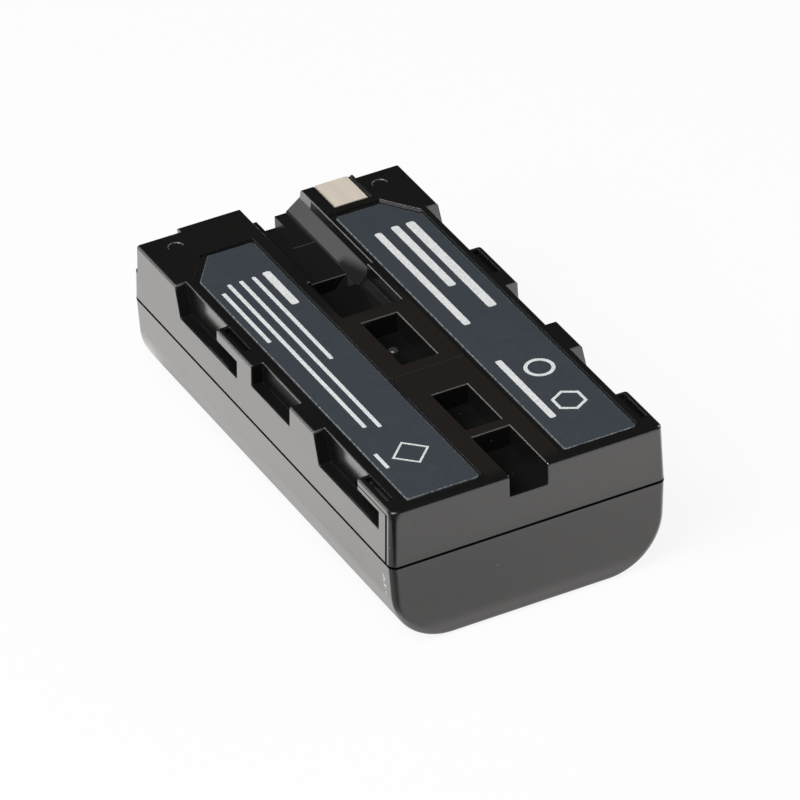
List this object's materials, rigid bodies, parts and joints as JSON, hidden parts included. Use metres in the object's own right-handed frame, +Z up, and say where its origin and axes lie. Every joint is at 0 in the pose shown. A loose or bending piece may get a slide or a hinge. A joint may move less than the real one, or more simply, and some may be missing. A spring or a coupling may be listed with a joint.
{
  "type": "camera battery",
  "caption": "Rectangular slide-in battery for a camera monitor: rounded tub below, notched upper case with side rails, centre channel, end contacts and two inset films.",
  "frame": {"origin": "middle of the flat underside", "axes": "+X across the case towards the side with the small metal contact, +Y along the case towards the contact end, +Z up to the notched mating side"},
  "size_m": [0.0384, 0.0708, 0.0206],
  "materials": {
    "case_plastic": "satin black",
    "label_film": "satin slate film",
    "contact_plate": "plated",
    "spring_brass": "plated",
    "cell_can": "nickel plated",
    "nickel_strip": "bright",
    "fibre_ring": "matte",
    "fibre_sheet": "matte",
    "board_laminate": "satin green",
    "chip_black": "matte",
    "chip_ceramic": "matte",
    "bead_epoxy": "gloss",
    "foam_tape": "matte"
  },
  "bodies": {
    "root": {"upper_case": "case_plastic", "lower_case": "case_plastic", "label_left": "label_film", "label_right": "label_film", "data_contact": "contact_plate", "positive_receptacle": "spring_brass", "negative_receptacle": "spring_brass", "cell_left": "cell_can", "cell_right": "cell_can", "washer_left": "fibre_ring", "washer_right": "fibre_ring", "series_link": "nickel_strip", "positive_strip": "nickel_strip", "negative_strip": "nickel_strip", "centre_tap": "nickel_strip", "protection_board": "board_laminate", "controller_chip": "chip_black", "power_transistors": "chip_black", "sense_resistor": "chip_ceramic", "chip_capacitors": "chip_ceramic", "thermistor": "bead_epoxy", "board_insulator": "fibre_sheet", "end_insulator": "fibre_sheet", "adhesive_pads": "foam_tape"}
  },
  "joints": []
}
